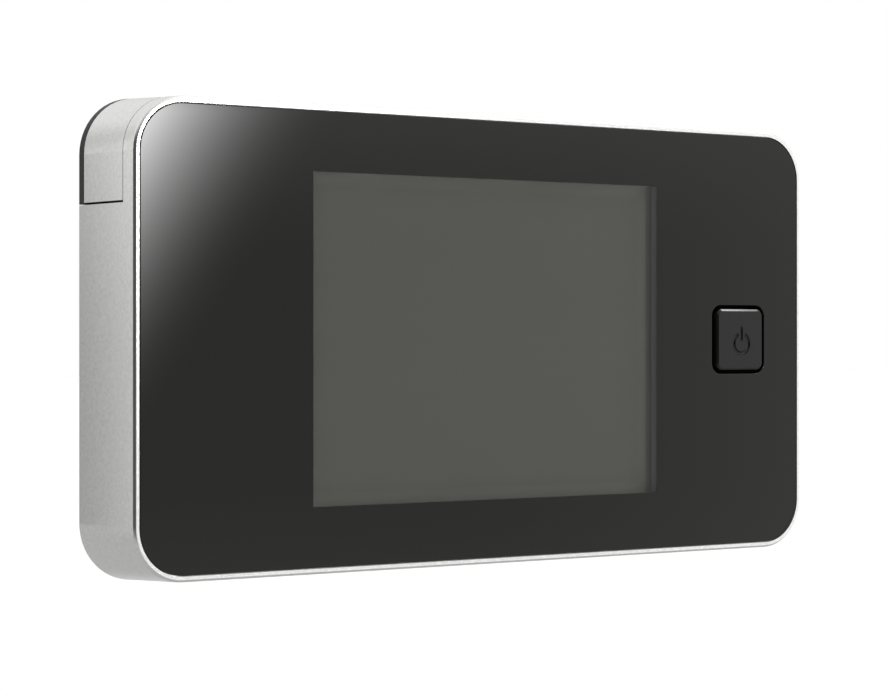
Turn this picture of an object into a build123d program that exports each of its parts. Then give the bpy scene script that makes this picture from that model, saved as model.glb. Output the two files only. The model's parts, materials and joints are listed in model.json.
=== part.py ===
from build123d import *
import math
import os

# Peephole door camera: an indoor monitor that hangs on a steel bracket, and a
# camera whose barrel goes through the door. Millimetres. X is to the right of a
# person indoors who faces the door, Y goes through the door to the outside and
# Z is up. The origin is on the barrel's axis, at the indoor face of the door.

# Front panel and body of the monitor
panel_width = 124.0
panel_height = 66.55
panel_corner = 7.0
lip_width = 0.38
edge_round = 0.42
flare = 0.68
body_depth = 15.1
door_gap = 0.4
cavity_offset = 0.15
floor_front = 1.5
floor_thickness = 1.2
overrun = 1.0

# Glossy front lens with its printed mask and tape
lens_thickness = 1.2
lens_inset = 0.04
lens_clearance = 0.1
lens_edge = 0.15
lens_hole_edge = 0.2
mask_thickness = 0.1
tape_width = 2.0
tape_inset = 0.4
mask_inset = 0.3

# Screen
screen_side_strip = 29.55
screen_end_strip = 8.875
window_shift = -0.85
module_side_border = 5.05
module_end_border = 1.675
module_clearance = 0.3
gasket_opening_margin = 0.6
glass_thickness = 1.0
light_guide_thickness = 0.95
can_wall = 0.2
can_gap = 0.05
can_lip = 0.1
lcd_gasket_thickness = 0.6
lcd_tape_thickness = 0.6
lcd_tape_width = 8.0
lcd_tape_end_gap = 6.0
lcd_tape_side_gap = 12.5

# Power button
button_shift = -0.325
button_hole_width = 11.1
button_hole_height = 11.0
button_hole_corner = 1.7
button_gap = 0.6
button_proud = 0.5
button_edge = 0.3
button_flange = 1.1
button_flange_thickness = 0.8
button_flange_gap = 0.1
button_travel = 0.5
button_bay_margin = 0.5
button_post_radius = 1.5
switch_size = 6.0
switch_height = 1.2
plunger_radius = 1.62
plunger_height = 0.55
plunger_fit = 0.06
plunger_end_gap = 0.05
switch_base = 0.1

# Battery cover along the top, which wraps both upper corners
cover_front = 2.95
cover_rear_inset = 1.6
cover_drop = 15.0
cover_seam = 0.12
cover_gap = 0.31
rail_depth = 1.1
rail_width = 2.0
rail_height = 6.0
rail_clearance = 0.15

# Battery cells and their tray
row_side_room = 15.35
cell_nub_radius = 1.9
cell_nub_length = 1.0
cell_edge = 0.5
cell_front_clearance = 1.2
cell_back_clearance = 1.2
cell_top_clearance = 0.2
trough_clearance = 0.1
tray_floor = 0.9
tray_wall = 1.2
tray_rear_gap = 0.4
tray_front_wall = 1.5
tray_end_gap = 0.5
tray_block_height = 6.55
tray_block_wall = 0.9
spring_room = 3.5
contact_thickness = 0.4
contact_width = 7.0
contact_height = 7.5
contact_tail_width = 2.5
contact_tail_overlap = 2.0
spring_wire_radius = 0.25
spring_base_radius = 3.3
spring_tip_radius = 1.5
spring_turns = 3
spring_end_gap = 0.02

# Main board
board_side_gap = 7.4
board_top_gap = 1.45
board_bottom_gap = 1.8
board_thickness = 1.0
board_corner = 1.5
board_screw_inset = 3.1
board_boss_radius = 2.2
chip_height = 1.2
processor_size = 12.0
processor_inset = 32.6
memory_width = 8.0
memory_length = 11.0
memory_inset = 16.6
chips_z = 3.0
inductor_size = 6.0
inductor_height = 3.0
inductor_z = -15.0
inductor_corner = 1.0
capacitor_radius = 2.4
capacitor_height = 5.2
capacitor_count = 3
capacitor_pitch = 6.0
capacitor_inset = 4.6
capacitor_drop = 10.4
socket_width = 12.0
socket_depth = 4.0
socket_height = 2.0
socket_rise = 6.5
socket_slot = 0.4
lcd_socket_width = 26.0
lcd_socket_height = 1.5
lcd_socket_depth = 4.0
lcd_socket_rise = 6.9
flex_width = 24.0
flex_thickness = 0.2
flex_gap = 0.2
flex_overlap = 1.0

# Rear cover
rear_wall = 1.1
rear_clearance = 0.15
rear_edge = 0.3
recess_margin = 0.8
pocket_hook_room = 9.0
pocket_end_room = 8.3
pocket_wall = 1.0
pocket_floor_front = 7.2
pocket_corner = 2.0
pad_radius = 3.5
pad_thickness = 0.7
pad_recess = 0.4
pad_side_inset = 14.0
pad_end_inset = 6.2

# Screws of the monitor
small_screw_radius = 0.95
small_screw_fit = 0.05
small_head_radius = 1.8
small_head_height = 1.1
tray_head_radius = 2.2
board_screw_length = 3.3
tray_screw_length = 2.2
case_screw_length = 7.5
case_boss_radius = 2.4
case_boss_side_inset = 4.4
case_boss_low_inset = 4.6
case_boss_high_inset = 2.87
case_boss_inset = 3.4
case_cup_radius = 2.75
case_head_sunk = 0.8
head_clearance = 0.2

# Steel bracket on the door
bracket_width = 62.0
bracket_end_room = 14.2
bracket_corner = 4.0
bracket_thickness = 1.2
bracket_gap = 0.3
hook_side_inset = 5.0
hook_top_inset = 9.0
hook_bottom_inset = 7.0
hook_width = 6.0
hook_lip = 3.5
hook_gap = 0.2
hook_side_gap = 0.6
hook_end_gap = 0.3
lift_travel = 4.0

# Camera through the door
door_thickness = 38.0
barrel_radius = 6.8
clamp_screw_radius = 1.5
clamp_screw_fit = 0.05
clamp_screw_x = 4.2
clamp_tip_gap = 1.2
clamp_channel_margin = 1.7
clamp_head_radius = 2.7
clamp_head_height = 1.9
clamp_hole_clearance = 0.15
ribbon_slot_width = 2.4
ribbon_slot_height = 7.0
door_seal_thickness = 1.0
door_seal_gap = 0.05
door_seal_step = 0.3
head_radius = 15.0
head_length = 9.0
head_floor = 1.5
head_wall = 2.4
head_edge = 0.6
sensor_board_radius = 12.0
sensor_board_thickness = 1.0
standoff_height = 1.1
standoff_radius = 1.9
standoff_x = 9.2
sensor_screw_length = 1.9
sensor_size = 6.0
sensor_height = 0.7
sensor_socket_width = 3.0
sensor_socket_length = 8.0
sensor_socket_height = 0.9
holder_size = 10.0
holder_base_height = 2.4
holder_length = 4.9
holder_wall = 1.2
holder_roof = 0.6
filter_size = 7.0
filter_thickness = 0.3
filter_rise = 1.0
lens_barrel_radius = 4.0
lens_barrel_fit = 0.03
lens_barrel_start = 1.7
lens_barrel_length = 4.8
rear_element_radius = 2.4
rear_element_thickness = 1.0
front_element_radius = 3.4
front_element_thickness = 1.1
front_element_crown = 0.75
front_element_sunk = 0.5
bezel_skirt_length = 3.0
bezel_skirt_wall = 1.1
bezel_skirt_fit = 0.05
bezel_height = 3.9
bezel_wall = 1.0
bezel_rim_width = 0.8
bezel_rim_proud = 0.5
bezel_rim_slope = 0.5
window_radius = 7.9
window_thickness = 1.2
window_fit = 0.05
window_seat = 1.0
window_seat_thickness = 0.8
window_seal_thickness = 0.3
window_crown = 0.4

# Places worked out from the sizes above
front_y = -(door_gap + body_depth)
front_offset = lip_width + edge_round
draft_angle = math.degrees(math.atan(flare / body_depth))
cavity_width = panel_width + 2 * cavity_offset
cavity_height = panel_height + 2 * cavity_offset
cavity_corner = panel_corner + cavity_offset
floor_back = floor_front + floor_thickness
window_width = panel_width - 2 * screen_side_strip
window_height = panel_height - 2 * screen_end_strip
module_width = window_width + 2 * module_side_border
module_height = window_height + 2 * module_end_border
module_right = window_shift + module_width / 2
button_centre = (module_right + panel_width / 2) / 2 + button_shift
mask_back = lens_inset + lens_thickness + mask_thickness
module_front = mask_back + lcd_gasket_thickness
light_guide_front = module_front + glass_thickness
can_back_front = light_guide_front + light_guide_thickness
module_back = can_back_front + can_wall
board_front = module_back + lcd_tape_thickness
board_back = board_front + board_thickness
cover_rear = body_depth - cover_rear_inset
case_boss_end = body_depth - case_boss_inset
notch_z = panel_height / 2 + front_offset - cover_drop
cell_radius = (body_depth - cell_back_clearance - cell_front_clearance - floor_back) / 2
cell_z = cavity_height / 2 - cell_top_clearance - cell_radius
cell_depth = floor_back + cell_front_clearance + cell_radius
row_length = panel_width - 2 * row_side_room
row_start = -row_length / 2
cell_length = (row_length - spring_room - 2 * contact_thickness) / 2
first_cell_x = row_start + contact_thickness + spring_room
tray_bottom = cell_z - cell_radius - trough_clearance - tray_floor
tray_rear = cover_rear - tray_rear_gap
tray_half_width = cavity_width / 2 - tray_end_gap
board_width = panel_width - 2 * board_side_gap
board_top = tray_bottom - board_top_gap
board_bottom = board_bottom_gap - panel_height / 2
board_height = board_top - board_bottom
board_z = (board_top + board_bottom) / 2
lcd_socket_z = board_bottom + lcd_socket_rise
bracket_height = panel_height - 2 * bracket_end_room
hook_x = bracket_width / 2 - hook_side_inset
rear_plate_front = body_depth - rear_wall
recess_floor_back = body_depth + door_gap - bracket_thickness - bracket_gap
recess_floor_front = recess_floor_back - rear_wall
recess_half_width = bracket_width / 2 + recess_margin
recess_top = bracket_height / 2 + recess_margin
recess_bottom = -bracket_height / 2 - lift_travel - recess_margin
pocket_half_width = hook_x - pocket_hook_room
pocket_top = recess_top - pocket_end_room
pocket_bottom = recess_bottom + pocket_end_room
socket_z = pocket_bottom + socket_rise
plunger_sunk = switch_height - switch_base - plunger_end_gap - button_travel
clamp_screw_reach = door_thickness - clamp_tip_gap
head_back = door_thickness + door_seal_thickness
head_front = head_back + head_length
head_bore = head_radius - head_wall
sensor_board_back = head_back + head_floor + standoff_height
sensor_board_front = sensor_board_back + sensor_board_thickness
window_back = head_front + bezel_height - bezel_rim_proud - window_thickness


def across(y):
    """Plane across the door's normal, seen from indoors: local x is X, local y is Z."""
    return Plane(origin=(0, y, 0), x_dir=(1, 0, 0), z_dir=(0, -1, 0))


def slab(sketch, y_from, y_to):
    """A flat outline in X and Z made solid between two places along Y."""
    return extrude(across(y_to) * sketch, y_to - y_from)


def layer(sketch, front, back):
    """The same, with depths counted from the front face of the monitor."""
    return slab(sketch, front_y + front, front_y + back)


def block(x_from, x_to, y_from, y_to, z_from, z_to):
    """A plain box between two corners."""
    size = (x_to - x_from, y_to - y_from, z_to - z_from)
    middle = ((x_from + x_to) / 2, (y_from + y_to) / 2, (z_from + z_to) / 2)
    return Pos(*middle) * Box(*size)


def deep_block(x_from, x_to, front, back, z_from, z_to):
    """A plain box whose depths are counted from the front face of the monitor."""
    return block(x_from, x_to, front_y + front, front_y + back, z_from, z_to)


def ring(outer_radius, inner_radius):
    return Circle(outer_radius) - Circle(inner_radius)


def turned(profile):
    """A profile drawn with radius as local x and Y as local y, turned about the camera's axis."""
    return revolve(Plane(origin=(0, 0, 0), x_dir=(1, 0, 0), z_dir=(0, 0, 1)) * profile, Axis.Y)


def along_x(sketch, x_from, x_to):
    """A section in Y (local x) and Z (local y) made solid between two places along X."""
    start = Plane(origin=(x_from, 0, 0), x_dir=(0, 1, 0), z_dir=(1, 0, 0))
    return extrude(start * sketch, x_to - x_from)


def rounded(width, height, corner, x=0, z=0):
    return Pos(x, z) * RectangleRounded(width, height, corner)


def group(solids):
    """Identical small pieces that share one node."""
    return Compound(children=list(solids))


# Monitor: outer form and casing

def outer_body():
    """Outer form of the monitor: it flares gently from the front to the back."""
    outline = RectangleRounded(panel_width + 2 * front_offset, panel_height + 2 * front_offset,
                               panel_corner + front_offset)
    face = Plane(origin=(0, front_y, 0), x_dir=(-1, 0, 0), z_dir=(0, 1, 0)) * outline
    form = extrude(face, body_depth, taper=-draft_angle)
    form = fillet(form.faces().sort_by(Axis.Y)[0].edges(), edge_round)
    return fillet(form.faces().sort_by(Axis.Y)[-1].edges(), rear_edge)


def cavity():
    """Room inside the casing, from behind the frame's floor to past its back."""
    return layer(RectangleRounded(cavity_width, cavity_height, cavity_corner),
                 floor_back, body_depth + overrun)


def above_notch(front, back, z_from):
    """Everything above the battery cover's lower edge, between two depths."""
    reach = panel_width
    return deep_block(-reach, reach, front, back, z_from, z_from + reach)


def button_outline(grow, corner):
    return rounded(button_hole_width + 2 * grow, button_hole_height + 2 * grow, corner, button_centre)


def screw_boss(x, z, radius, front, back, hole_depth):
    """Round boss with a blind screw hole in its back end."""
    post = layer(Pos(x, z) * Circle(radius), front, back)
    hole = Pos(x, z) * Circle(small_screw_radius + small_screw_fit)
    return post - layer(hole, back - hole_depth, back + overrun)


def board_screw_places():
    x = board_width / 2 - board_screw_inset
    return [(side * x, z) for side in (-1, 1) for z in (board_bottom + board_screw_inset,
                                                        board_top - board_screw_inset)]


def case_screw_places():
    x = panel_width / 2 - case_boss_side_inset
    low = case_boss_low_inset - panel_height / 2
    return [(side * x, z) for side in (-1, 1) for z in (low, notch_z - case_boss_high_inset)]


def tray_block_inner_x():
    return row_length / 2 + tray_wall


def tray_screw_places():
    x = (tray_block_inner_x() + tray_half_width) / 2
    z = tray_bottom + tray_block_height / 2
    return [(side * x, z) for side in (-1, 1)]


def front_frame(body):
    """Silver frame: rim, side walls, floor behind the lens and the bosses on it."""
    frame = body - cavity()
    frame -= layer(RectangleRounded(panel_width, panel_height, panel_corner), -overrun, floor_front)
    frame -= layer(rounded(module_width + 2 * module_clearance, module_height + 2 * module_clearance,
                           module_clearance, window_shift), 0, floor_back + overrun)
    frame -= layer(button_outline(button_flange + button_bay_margin, button_hole_corner), 0,
                   floor_back + overrun)
    frame -= above_notch(cover_front, body_depth + overrun, notch_z)
    for x, z in board_screw_places():
        frame += screw_boss(x, z, board_boss_radius, floor_back, board_front,
                            board_screw_length - board_thickness)
        frame -= layer(Pos(x, z) * Circle(small_screw_radius + small_screw_fit),
                       board_back - board_screw_length - head_clearance, board_front)
    for x, z in tray_screw_places():
        boss_end = floor_back + tray_front_wall
        frame += layer(Pos(x, z) * Circle(board_boss_radius - head_clearance), floor_back, boss_end)
        frame -= layer(Pos(x, z) * Circle(small_screw_radius + small_screw_fit),
                       boss_end - tray_screw_length - head_clearance, boss_end + overrun)
    for x, z in case_screw_places():
        frame += screw_boss(x, z, case_boss_radius, floor_back, case_boss_end, case_screw_length)
    return frame


def front_lens():
    """Glossy front panel with the button's hole, its edges eased."""
    lens = layer(RectangleRounded(panel_width - 2 * lens_clearance, panel_height - 2 * lens_clearance,
                                  panel_corner - lens_clearance), lens_inset, lens_inset + lens_thickness)
    lens = fillet(lens.faces().sort_by(Axis.Y)[0].edges(), lens_edge)
    lens -= layer(button_outline(0, button_hole_corner), -overrun, floor_front + overrun)
    hole_edges = lens.faces().sort_by(Axis.Y)[0].inner_wires()[0].edges()
    return fillet(hole_edges, lens_hole_edge)


def lens_mask():
    """Black print on the back of the lens, open at the screen and the button."""
    inset = lens_clearance + mask_inset
    front = lens_inset + lens_thickness
    outline = RectangleRounded(panel_width - 2 * inset, panel_height - 2 * inset, panel_corner - inset)
    outline -= Pos(window_shift, 0) * Rectangle(window_width, window_height)
    outline -= button_outline(0, button_hole_corner)
    return layer(outline, front, front + mask_thickness)


def lens_tape():
    """Adhesive ring that holds the lens on the frame's floor."""
    width = panel_width - 2 * tape_inset
    height = panel_height - 2 * tape_inset
    corner = panel_corner - tape_inset
    outline = RectangleRounded(width, height, corner)
    outline -= RectangleRounded(width - 2 * tape_width, height - 2 * tape_width, corner - tape_width)
    return layer(outline, mask_back, floor_front)


# Screen

def at_window(sketch):
    return Pos(window_shift, 0) * sketch


def lcd_gasket():
    margin = 2 * gasket_opening_margin
    outline = Rectangle(module_width, module_height)
    outline -= Rectangle(window_width + margin, window_height + margin)
    return layer(at_window(outline), mask_back, module_front)


def lcd_core(front, back):
    inset = 2 * (can_wall + can_gap)
    return layer(at_window(Rectangle(module_width - inset, module_height - inset)), front, back)


def lcd_panel():
    return lcd_core(module_front, light_guide_front)


def lcd_backlight():
    return lcd_core(light_guide_front, can_back_front)


def lcd_can():
    """Pressed metal can behind and around the glass."""
    can = layer(at_window(Rectangle(module_width, module_height)), module_front + can_lip, module_back)
    inner = at_window(Rectangle(module_width - 2 * can_wall, module_height - 2 * can_wall))
    return can - layer(inner, module_front, can_back_front)


def lcd_tape():
    """Two foam strips between the screen and the board."""
    strip = Rectangle(lcd_tape_width, module_height - 2 * lcd_tape_end_gap)
    reach = module_width / 2 - lcd_tape_side_gap
    return group(layer(Pos(window_shift + side * reach, 0) * strip, module_back, board_front)
                 for side in (-1, 1))


def lcd_flex():
    """Flat cable that leaves the back of the screen and folds round the board's lower edge."""
    front = front_y + board_front - flex_gap - flex_thickness
    back = front_y + board_back + flex_gap + flex_thickness
    middle = (front + back) / 2
    outer = (back - front) / 2
    inner = outer - flex_thickness
    bend_z = board_bottom - flex_gap
    front_top = -module_height / 2 + flex_overlap
    back_top = lcd_socket_z - lcd_socket_depth / 2
    bend = Pos(middle, bend_z) * (Circle(outer) - Circle(inner))
    bend -= Pos(middle, bend_z + outer) * Rectangle(2 * outer, 2 * outer)
    front_leg = Rectangle(flex_thickness, front_top - bend_z)
    back_leg = Rectangle(flex_thickness, back_top - bend_z)
    strip = bend + Pos(front + flex_thickness / 2, (front_top + bend_z) / 2) * front_leg
    strip += Pos(back - flex_thickness / 2, (back_top + bend_z) / 2) * back_leg
    return along_x(strip, window_shift - flex_width / 2, window_shift + flex_width / 2)


# Main board and what is soldered to it

def main_board():
    board = layer(rounded(board_width, board_height, board_corner, 0, board_z), board_front, board_back)
    for x, z in board_screw_places():
        hole = Pos(x, z) * Circle(small_screw_radius + head_clearance)
        board -= layer(hole, board_front - overrun, board_back + overrun)
    return board


def on_board(sketch, height):
    """A component that stands on the back of the board."""
    return layer(sketch, board_back, board_back + height)


def processor_chip():
    place = Pos(processor_inset - board_width / 2, chips_z)
    return on_board(place * Rectangle(processor_size, processor_size), chip_height)


def memory_chip():
    place = Pos(memory_inset - board_width / 2, chips_z)
    return on_board(place * Rectangle(memory_width, memory_length), chip_height)


def power_inductor():
    """Square coil halfway between the cable pocket and the board's right edge."""
    x = (pocket_half_width + pocket_wall + board_width / 2) / 2
    return on_board(rounded(inductor_size, inductor_size, inductor_corner, x, inductor_z), inductor_height)


def capacitors():
    x = capacitor_inset - board_width / 2
    places = [board_top - capacitor_drop - index * capacitor_pitch for index in range(capacitor_count)]
    return group(on_board(Pos(x, z) * Circle(capacitor_radius), capacitor_height) for z in places)


def camera_socket():
    """Flat-cable socket for the camera, with its slot facing the back of the pocket."""
    body = on_board(Pos(0, socket_z) * Rectangle(socket_width, socket_depth), socket_height)
    slot_width = socket_width - socket_depth / 2
    slot = on_board(Pos(0, socket_z) * Rectangle(slot_width, socket_slot), socket_height + overrun)
    return body - Pos(0, socket_height / 2, 0) * slot


def lcd_socket():
    return on_board(Pos(window_shift, lcd_socket_z) * Rectangle(lcd_socket_width, lcd_socket_depth),
                    lcd_socket_height)


def pan_screw(x, z, seat, head_radius, length):
    """Small pan-head screw whose head stands on the seat depth and whose shank points forward."""
    shank = layer(Pos(x, z) * Circle(small_screw_radius), seat - length, seat)
    return shank + layer(Pos(x, z) * Circle(head_radius), seat, seat + small_head_height)


def board_screws():
    return group(pan_screw(x, z, board_back, small_head_radius, board_screw_length)
                 for x, z in board_screw_places())


def tact_switch():
    """Low switch body with the bore that its plunger runs in."""
    front = board_front - switch_height
    body = layer(Pos(button_centre, 0) * Rectangle(switch_size, switch_size), front, board_front)
    bore = Pos(button_centre, 0) * Circle(plunger_radius + plunger_fit)
    return body - layer(bore, front - overrun, board_front - switch_base)


# Power button

def switch_plunger():
    front = board_front - switch_height
    return layer(Pos(button_centre, 0) * Circle(plunger_radius), front - plunger_height, front + plunger_sunk)


def button_cap():
    """Square cap that stands proud of the lens, with its flange behind the lens and its post."""
    flange_front = mask_back + button_flange_gap
    flange_back = flange_front + button_flange_thickness
    cap = layer(button_outline(-button_gap, button_hole_corner - button_gap), -button_proud, flange_front)
    cap = chamfer(cap.faces().sort_by(Axis.Y)[0].edges(), button_edge)
    cap += layer(button_outline(button_flange, button_hole_corner), flange_front, flange_back)
    post_end = board_front - switch_height - plunger_height
    return cap + layer(Pos(button_centre, 0) * Circle(button_post_radius), flange_back, post_end)


# Batteries

def battery_tray():
    """Open trough for the cells, with a walled block at each end for its screw and the cover's rail."""
    half = row_length / 2
    tray = deep_block(-half - tray_wall, half + tray_wall, floor_back, tray_rear,
                      tray_bottom, cell_z + cell_radius / 2)
    trough = Pos(front_y + cell_depth, cell_z) * Circle(cell_radius + trough_clearance)
    tray -= along_x(trough, -half, half)
    tray -= deep_block(-half, half, cell_depth - cell_radius - trough_clearance,
                       cell_depth + cell_radius + trough_clearance, cell_z, cell_z + 2 * cell_radius)
    for side in (-1, 1):
        tray += tray_end(side)
    screen_room = module_back + lcd_tape_thickness / 2
    half_module = module_width / 2 + module_clearance
    tray -= deep_block(window_shift - half_module, window_shift + half_module, 0, screen_room,
                       tray_bottom - overrun, module_height / 2 + module_clearance)
    for contact_x in (-half, half):
        tray -= contact_slot(contact_x)
    return tray


def tray_end(side):
    """End block: open at the back for the screw, grooved outside for the cover's rail."""
    near = tray_block_inner_x() - tray_wall
    outline = (side * near, side * tray_half_width)
    inner = (side * (near + tray_wall), side * (tray_half_width - rail_depth - tray_block_wall))
    top = tray_bottom + tray_block_height
    end = deep_block(min(outline), max(outline), floor_back, tray_rear, tray_bottom, top)
    end -= deep_block(min(inner), max(inner), floor_back + tray_front_wall, tray_rear + overrun,
                      tray_bottom + tray_block_wall, top - tray_block_wall)
    for x, z in tray_screw_places():
        end -= layer(Pos(x, z) * Circle(board_boss_radius), floor_back - overrun,
                     floor_back + tray_front_wall + overrun / 2)
    groove_depth = rail_depth + rail_clearance - tray_end_gap
    groove = (side * (tray_half_width - groove_depth), side * (tray_half_width + overrun))
    half_groove = rail_width / 2 + rail_clearance
    end -= deep_block(min(groove), max(groove), cell_depth - half_groove, cell_depth + half_groove,
                      tray_bottom - overrun, top + overrun)
    return end


def contact_slot(contact_x):
    """Slot in the tray's floor for a contact's tail."""
    clearance = trough_clearance
    inward = math.copysign(contact_thickness + clearance, -contact_x)
    x_range = sorted((contact_x - math.copysign(clearance, -contact_x), contact_x + inward))
    return deep_block(x_range[0], x_range[1], board_back - clearance,
                      board_back + contact_tail_width + clearance, tray_bottom - overrun, cell_z)


def battery_cell(start_x):
    """One cell lying along X, its nub to the right."""
    can_length = cell_length - cell_nub_length
    place = Pos(front_y + cell_depth, cell_z)
    can = along_x(place * Circle(cell_radius), start_x, start_x + can_length)
    can = fillet(can.edges().filter_by(GeomType.CIRCLE), cell_edge)
    return can + along_x(place * Circle(cell_nub_radius), start_x + can_length, start_x + cell_length)


def contact(contact_x, inward):
    """Sprung steel plate on the tray's end wall, with a tail down to the back of the board."""
    x_range = sorted((contact_x, contact_x + inward * contact_thickness))
    half_width = contact_width / 2
    half_height = contact_height / 2
    plate = deep_block(x_range[0], x_range[1], cell_depth - half_width, cell_depth + half_width,
                       cell_z - half_height, cell_z + half_height)
    tail = deep_block(x_range[0], x_range[1], board_back, board_back + contact_tail_width,
                      board_top - contact_tail_overlap, cell_z)
    return plate + tail


def negative_contact():
    return contact(row_start, 1)


def positive_contact():
    return contact(-row_start, -1)


def spring_point(turn):
    """Centre of the spring's wire after so many turns from its wide base."""
    start = row_start + contact_thickness + spring_end_gap + spring_wire_radius
    finish = first_cell_x - spring_end_gap - spring_wire_radius
    progress = turn / spring_turns
    radius = spring_base_radius + (spring_tip_radius - spring_base_radius) * progress
    angle = 2 * math.pi * turn
    return Vector(start + (finish - start) * progress,
                  front_y + cell_depth + radius * math.cos(angle), cell_z + radius * math.sin(angle))


def spring_direction(turn):
    step_share = 0.001
    return (spring_point(turn + step_share) - spring_point(turn - step_share)).normalized()


def arc_through(start, corner, finish):
    """Arc that leaves start and reaches finish along the lines to the corner between them."""
    middle = (start + finish) * 0.5
    half_chord = (finish - start).length / 2
    side = (corner - start).length
    height = (corner - middle).length
    radius = side * half_chord / height
    sagitta = radius - math.sqrt(radius * radius - half_chord * half_chord)
    return ThreePointArc(start, middle + (corner - middle).normalized() * sagitta, finish)


def biarc(start, start_direction, finish, finish_direction):
    """Two arcs that meet smoothly, with the given directions at their far ends."""
    gap = finish - start
    total = start_direction + finish_direction
    quadratic = 2 * (1 - start_direction.dot(finish_direction))
    linear = gap.dot(total)
    length = (-linear + math.sqrt(linear * linear + quadratic * gap.dot(gap))) / quadratic
    first_corner = start + start_direction * length
    second_corner = finish - finish_direction * length
    joint = (first_corner + second_corner) * 0.5
    return [arc_through(start, first_corner, joint), arc_through(joint, second_corner, finish)]


def negative_spring():
    """Conical coil spring: one unbroken wire swept along quarter-turn biarcs."""
    quarters = 4 * spring_turns
    turns = [index / 4 for index in range(quarters + 1)]
    arcs = []
    for start, finish in zip(turns, turns[1:]):
        arcs += biarc(spring_point(start), spring_direction(start),
                      spring_point(finish), spring_direction(finish))
    path = Wire(arcs)
    section = Plane(origin=spring_point(0), z_dir=spring_direction(0)) * Circle(spring_wire_radius)
    print("spring wire's least gap to itself, mm:", round(spring_gap(), 3))
    return sweep(section, path=path)


def spring_gap():
    """Least gap between points of the wire that lie at least half a turn apart."""
    samples_per_turn = 48
    count = samples_per_turn * spring_turns
    points = [spring_point(index / samples_per_turn) for index in range(count + 1)]
    gaps = [(points[late] - points[early]).length for early in range(count + 1)
            for late in range(early + samples_per_turn // 2, count + 1)]
    return min(gaps) - 2 * spring_wire_radius


def tray_screws():
    return group(pan_screw(x, z, floor_back + tray_front_wall, tray_head_radius, tray_screw_length)
                 for x, z in tray_screw_places())


def battery_cover(body):
    """Silver cover along the top that wraps both corners and slides up on two rails."""
    cover = body - cavity()
    cover &= above_notch(cover_front + cover_seam, cover_rear, notch_z + cover_gap)
    for side in (-1, 1):
        inner = cavity_width / 2 - rail_depth
        rail = (side * inner, side * cavity_width / 2)
        rail_bottom = notch_z + cover_gap
        cover += deep_block(min(rail), max(rail), cell_depth - rail_width / 2, cell_depth + rail_width / 2,
                            rail_bottom, rail_bottom + rail_height)
    return cover


# Back of the monitor

def recess_outline(grow):
    """Outline of the bracket's recess in X and Z."""
    half_width = recess_half_width + grow
    height = recess_top - recess_bottom + 2 * grow
    corner = bracket_corner + grow
    return rounded(2 * half_width, height, corner, 0, (recess_top + recess_bottom) / 2)


def pocket_outline(grow):
    height = pocket_top - pocket_bottom + 2 * grow
    return rounded(2 * (pocket_half_width + grow), height, pocket_corner + grow,
                   0, (pocket_top + pocket_bottom) / 2)


def hook_places():
    low = hook_bottom_inset - bracket_height / 2
    high = bracket_height / 2 - hook_top_inset
    return [(side * hook_x, z) for side in (-1, 1) for z in (low, high)]


def rear_cover(body):
    """Black back: plate, bracket recess with its hook slots, cable pocket, screw cups and pad seats."""
    outline = RectangleRounded(cavity_width - 2 * rear_clearance, cavity_height - 2 * rear_clearance,
                               cavity_corner - rear_clearance)
    cover = layer(outline, rear_plate_front, body_depth)
    strip = body & above_notch(cover_rear + cover_seam, body_depth + overrun, notch_z + cover_seam)
    strip -= layer(RectangleRounded(cavity_width - 2 * rear_wall, cavity_height - 2 * rear_wall,
                                    cavity_corner - rear_wall), 0, rear_plate_front)
    cover += strip
    cover += layer(recess_outline(rear_wall), recess_floor_front, body_depth - rear_wall / 2)
    cover -= layer(recess_outline(0), recess_floor_back, body_depth + overrun)
    cover += layer(pocket_outline(pocket_wall), pocket_floor_front, recess_floor_back)
    cover -= layer(pocket_outline(0), pocket_floor_front + pocket_wall, body_depth + overrun)
    window = Rectangle(socket_width + 2 * pocket_wall, socket_depth + 2 * pocket_wall)
    cover -= layer(Pos(0, socket_z) * window, board_back, body_depth)
    for x, z in hook_places():
        slot_bottom = z - bracket_thickness - lift_travel - hook_end_gap
        slot_half = hook_width / 2 + hook_side_gap
        cover -= deep_block(x - slot_half, x + slot_half, recess_floor_front - overrun, body_depth,
                            slot_bottom, z)
    for x, z in case_screw_places():
        cover += layer(Pos(x, z) * Circle(case_cup_radius), case_boss_end, rear_plate_front)
        head_hole = Pos(x, z) * Circle(small_head_radius + head_clearance)
        shank_hole = Pos(x, z) * Circle(small_screw_radius + head_clearance)
        cover -= layer(head_hole, case_head_seat(), body_depth + overrun)
        cover -= layer(shank_hole, case_boss_end - overrun, case_head_seat())
    for x, z in pad_places():
        cover -= layer(Pos(x, z) * Circle(pad_radius + small_screw_fit), body_depth - pad_recess,
                       body_depth + overrun)
    return cover


def case_head_seat():
    return body_depth - case_head_sunk - small_head_height


def case_screws():
    return group(pan_screw(x, z, case_head_seat(), small_head_radius, case_screw_length)
                 for x, z in case_screw_places())


def pad_places():
    x = panel_width / 2 - pad_side_inset
    z = panel_height / 2 - pad_end_inset
    return [(side * x, level * z) for side in (-1, 1) for level in (-1, 1)]


def rear_pads():
    front = body_depth - pad_recess
    return group(layer(Pos(x, z) * Circle(pad_radius), front, front + pad_thickness) for x, z in pad_places())


# Bracket on the door

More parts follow.
